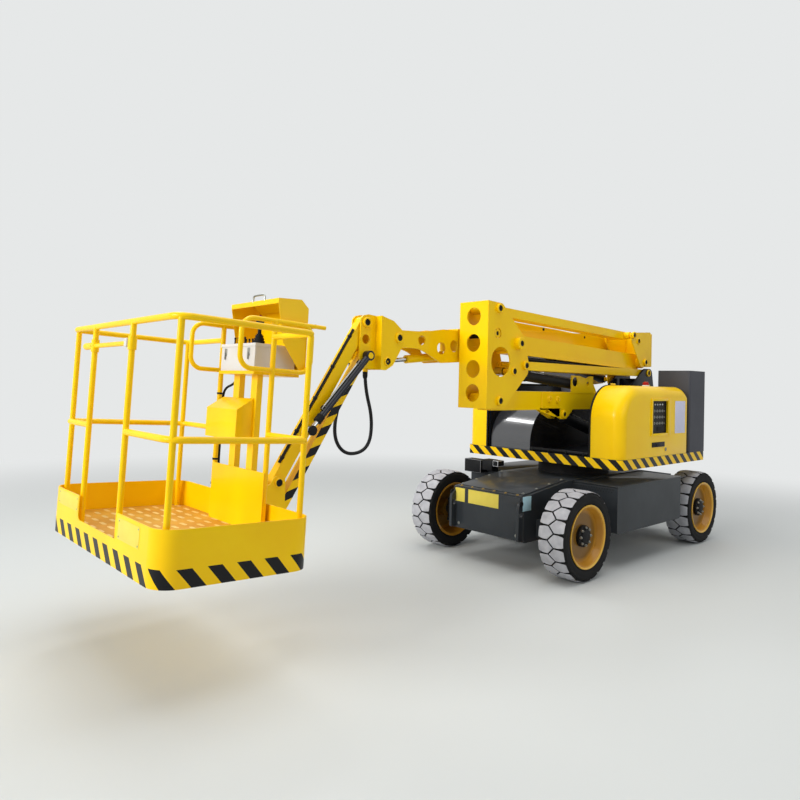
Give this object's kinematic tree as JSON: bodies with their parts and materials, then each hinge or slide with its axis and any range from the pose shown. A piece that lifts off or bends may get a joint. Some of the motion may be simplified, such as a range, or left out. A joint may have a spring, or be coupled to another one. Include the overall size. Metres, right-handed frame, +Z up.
{
  "type": "articulating boom lift",
  "caption": "Self-propelled articulating boom lift with a riser tower, telescopic boom, jib and work platform on a slewing turntable.",
  "frame": {"origin": "on the floor under the slew axis, midway between the four wheels", "axes": "+X forward to the platform, +Y to the machine's left, +Z up"},
  "size_m": [5.8107, 1.7105, 2.16],
  "materials": {
    "yellow_paint": "gloss",
    "dark_paint": "satin",
    "counterweight_paint": "satin",
    "tyre_rubber": "matte",
    "rim_paint": "gloss",
    "ring_steel": "matte",
    "black_gloss": "gloss",
    "battery_case": "matte",
    "panel_black": "satin",
    "cylinder_black": "satin",
    "rod_chrome": "polished",
    "box_grey": "satin",
    "hose_rubber": "satin"
  },
  "bodies": {
    "chassis": {"chassis": "dark_paint", "slew_ring": "ring_steel"},
    "knuckle_left": {"knuckle_left": "dark_paint"},
    "knuckle_right": {"knuckle_right": "dark_paint"},
    "turntable": {"turntable": "yellow_paint", "counterweight_left": "counterweight_paint", "counterweight_right": "counterweight_paint", "battery_pack_left": "battery_case", "battery_pack_right": "battery_case", "ground_controls": "panel_black", "inner_cover": "black_gloss"},
    "hood_left": {"hood_left": "yellow_paint"},
    "hood_right": {"hood_right": "yellow_paint"},
    "lower_arm": {"lower_arm": "yellow_paint"},
    "lower_link": {"lower_link": "yellow_paint"},
    "front_riser": {"front_riser": "yellow_paint"},
    "upper_arm": {"upper_arm": "yellow_paint"},
    "upper_link": {"upper_link": "yellow_paint"},
    "rear_riser": {"rear_riser": "yellow_paint"},
    "main_boom": {"main_boom": "yellow_paint"},
    "boom_extension": {"boom_extension": "yellow_paint"},
    "jib_bracket": {"jib_bracket": "yellow_paint", "jib_hose": "hose_rubber"},
    "jib_upper_bar": {"jib_upper_bar": "yellow_paint"},
    "jib_lower_bar": {"jib_lower_bar": "yellow_paint"},
    "jib_end": {"jib_end": "yellow_paint"},
    "platform": {"platform_support": "yellow_paint", "platform_tray": "yellow_paint", "platform_rails": "yellow_paint", "control_stand": "yellow_paint", "control_box": "box_grey", "control_cover": "yellow_paint", "document_box": "yellow_paint"},
    "entry_bar": {"entry_bar": "yellow_paint"},
    "tower_cylinder": {"tower_cylinder": "cylinder_black"},
    "tower_rod": {"tower_rod": "rod_chrome"},
    "riser_cylinder": {"riser_cylinder": "cylinder_black"},
    "riser_rod": {"riser_rod": "rod_chrome"},
    "boom_cylinder": {"boom_cylinder": "cylinder_black"},
    "boom_rod": {"boom_rod": "rod_chrome"},
    "jib_cylinder": {"jib_cylinder": "cylinder_black"},
    "jib_rod": {"jib_rod": "rod_chrome"},
    "levelling_rod": {"levelling_rod": "rod_chrome"},
    "wheel_front_left": {"tyre_front_left": "tyre_rubber", "rim_front_left": "rim_paint"},
    "wheel_front_right": {"tyre_front_right": "tyre_rubber", "rim_front_right": "rim_paint"},
    "wheel_rear_left": {"tyre_rear_left": "tyre_rubber", "rim_rear_left": "rim_paint"},
    "wheel_rear_right": {"tyre_rear_right": "tyre_rubber", "rim_rear_right": "rim_paint"}
  },
  "joints": [
    {"name": "steer_left", "type": "hinge", "parent": "chassis", "child": "knuckle_left", "pos_m": [1.042, 0.585, 0.35], "axis": [0, 0, 1], "range_deg": [-30, 30]},
    {"name": "steer_right", "type": "hinge", "parent": "chassis", "child": "knuckle_right", "pos_m": [1.042, -0.585, 0.35], "axis": [0, 0, 1], "range_deg": [-30, 30]},
    {"name": "roll_front_left", "type": "hinge", "parent": "knuckle_left", "child": "wheel_front_left", "pos_m": [1.042, 0.698, 0.35], "axis": [0, 1, 0], "continuous": true},
    {"name": "roll_front_right", "type": "hinge", "parent": "knuckle_right", "child": "wheel_front_right", "pos_m": [1.042, -0.698, 0.35], "axis": [0, 1, 0], "continuous": true},
    {"name": "roll_rear_left", "type": "hinge", "parent": "chassis", "child": "wheel_rear_left", "pos_m": [-1.042, 0.698, 0.35], "axis": [0, 1, 0], "continuous": true},
    {"name": "roll_rear_right", "type": "hinge", "parent": "chassis", "child": "wheel_rear_right", "pos_m": [-1.042, -0.698, 0.35], "axis": [0, 1, 0], "continuous": true},
    {"name": "slew", "type": "hinge", "parent": "chassis", "child": "turntable", "pos_m": [0, 0, 0.78], "axis": [0, 0, 1], "range_deg": [-177.5, 177.5]},
    {"name": "hood_left_open", "type": "hinge", "parent": "turntable", "child": "hood_left", "pos_m": [0, 0.486, 1.536], "axis": [1, 0, 0], "range_deg": [0, 70]},
    {"name": "hood_right_open", "type": "hinge", "parent": "turntable", "child": "hood_right", "pos_m": [0, -0.634, 1.536], "axis": [-1, 0, 0], "range_deg": [0, 70]},
    {"name": "tower_lift", "type": "hinge", "parent": "turntable", "child": "lower_arm", "pos_m": [-0.618, 0.14, 1.382], "axis": [0, -1, 0], "range_deg": [0, 68]},
    {"name": "lower_link_follow", "type": "hinge", "parent": "turntable", "child": "lower_link", "pos_m": [-0.945, 0.14, 1.672], "axis": [0, -1, 0], "range_deg": [0, 68]},
    {"name": "front_riser_level", "type": "hinge", "parent": "lower_arm", "child": "front_riser", "pos_m": [1.514, 0.14, 1.382], "axis": [0, 1, 0], "range_deg": [0, 68]},
    {"name": "upper_arm_follow", "type": "hinge", "parent": "front_riser", "child": "upper_arm", "pos_m": [1.287, 0.14, 1.846], "axis": [0, 1, 0], "range_deg": [0, 68]},
    {"name": "upper_link_follow", "type": "hinge", "parent": "front_riser", "child": "upper_link", "pos_m": [1.537, 0.14, 2.108], "axis": [0, 1, 0], "range_deg": [0, 68]},
    {"name": "rear_riser_level", "type": "hinge", "parent": "upper_arm", "child": "rear_riser", "pos_m": [-0.84398, 0.14, 1.78], "axis": [0, -1, 0], "range_deg": [0, 68]},
    {"name": "boom_lift", "type": "hinge", "parent": "rear_riser", "child": "main_boom", "pos_m": [-0.81998, -0.13, 1.98], "axis": [0, -1, 0], "range_deg": [0, 75]},
    {"name": "boom_extend", "type": "slide", "parent": "main_boom", "child": "boom_extension", "axis": [0.9989, 0, -0.0462], "range_m": [0, 1]},
    {"name": "bracket_level", "type": "hinge", "parent": "boom_extension", "child": "jib_bracket", "pos_m": [2.317, -0.13, 1.835], "axis": [0, 1, 0], "range_deg": [0, 75]},
    {"name": "jib_lift", "type": "hinge", "parent": "jib_bracket", "child": "jib_upper_bar", "pos_m": [2.576, -0.13, 1.932], "axis": [0, -1, 0], "range_deg": [-12, 125]},
    {"name": "jib_lower_follow", "type": "hinge", "parent": "jib_bracket", "child": "jib_lower_bar", "pos_m": [2.576, -0.13, 1.692], "axis": [0, -1, 0], "range_deg": [-12, 125]},
    {"name": "jib_end_level", "type": "hinge", "parent": "jib_lower_bar", "child": "jib_end", "pos_m": [3.27507, -0.13, 0.60308], "axis": [0, 1, 0], "range_deg": [-12, 125]},
    {"name": "platform_turn", "type": "hinge", "parent": "jib_end", "child": "platform", "pos_m": [3.4706, -0.13, 0.53612], "axis": [-0.0441, 0, 0.999], "range_deg": [-60, 60]},
    {"name": "entry_bar_lift", "type": "slide", "parent": "platform", "child": "entry_bar", "axis": [-0.0441, 0, 0.999], "range_m": [-0.33, 0]},
    {"name": "tower_cylinder_swing", "type": "hinge", "parent": "turntable", "child": "tower_cylinder", "pos_m": [-0.45, 0.14, 0.99], "axis": [0, -1, 0], "range_deg": [0, 59.4]},
    {"name": "tower_rod_stroke", "type": "slide", "parent": "tower_cylinder", "child": "tower_rod", "axis": [0.962, 0, 0.273], "range_m": [0, 0.44254]},
    {"name": "riser_cylinder_swing", "type": "hinge", "parent": "lower_arm", "child": "riser_cylinder", "pos_m": [0.044, 0.14, 1.512], "axis": [0, 1, 0], "range_deg": [0, 0.2459]},
    {"name": "riser_rod_stroke", "type": "slide", "parent": "riser_cylinder", "child": "riser_rod", "axis": [0.9965, 0, 0.0837], "range_m": [0, 0.3365]},
    {"name": "boom_cylinder_swing", "type": "hinge", "parent": "rear_riser", "child": "boom_cylinder", "pos_m": [-0.71998, -0.13, 1.6], "axis": [0, -1, 0], "range_deg": [0, 62.01]},
    {"name": "boom_rod_stroke", "type": "slide", "parent": "boom_cylinder", "child": "boom_rod", "axis": [0.9755, 0, 0.2201], "range_m": [0, 0.42139]},
    {"name": "jib_cylinder_swing", "type": "hinge", "parent": "jib_bracket", "child": "jib_cylinder", "pos_m": [2.576, -0.046, 1.692], "axis": [0, -1, 0], "range_deg": [-11.46, 119.14]},
    {"name": "jib_rod_stroke", "type": "slide", "parent": "jib_cylinder", "child": "jib_rod", "axis": [0.6848, 0, -0.7287], "range_m": [-0.04001, 0.41586]},
    {"name": "levelling_stroke", "type": "slide", "parent": "boom_extension", "child": "levelling_rod", "axis": [-0.9943, 0, 0.1064], "range_m": [0, 0.25463]}
  ],
  "couplings": [
    {"joint": "steer_right", "follows": "steer_left", "ratio": 1},
    {"joint": "lower_link_follow", "follows": "tower_lift", "ratio": 1},
    {"joint": "front_riser_level", "follows": "tower_lift", "ratio": 1},
    {"joint": "upper_arm_follow", "follows": "tower_lift", "ratio": 1},
    {"joint": "upper_link_follow", "follows": "tower_lift", "ratio": 1},
    {"joint": "rear_riser_level", "follows": "tower_lift", "ratio": 1},
    {"joint": "bracket_level", "follows": "boom_lift", "ratio": 1},
    {"joint": "jib_lower_follow", "follows": "jib_lift", "ratio": 1},
    {"joint": "jib_end_level", "follows": "jib_lift", "ratio": 1},
    {"joint": "tower_cylinder_swing", "follows": "tower_lift", "ratio": 0.87331},
    {"joint": "tower_rod_stroke", "follows": "tower_lift", "m_per_rad": 0.37279},
    {"joint": "riser_cylinder_swing", "follows": "tower_lift", "ratio": 0.003322},
    {"joint": "riser_rod_stroke", "follows": "tower_lift", "m_per_rad": 0.28344},
    {"joint": "boom_cylinder_swing", "follows": "boom_lift", "ratio": 0.82648},
    {"joint": "boom_rod_stroke", "follows": "boom_lift", "m_per_rad": 0.32184},
    {"joint": "jib_cylinder_swing", "follows": "jib_lift", "ratio": 0.95294},
    {"joint": "jib_rod_stroke", "follows": "jib_lift", "m_per_rad": 0.19057},
    {"joint": "levelling_stroke", "follows": "boom_lift", "m_per_rad": 0.19445}
  ]
}
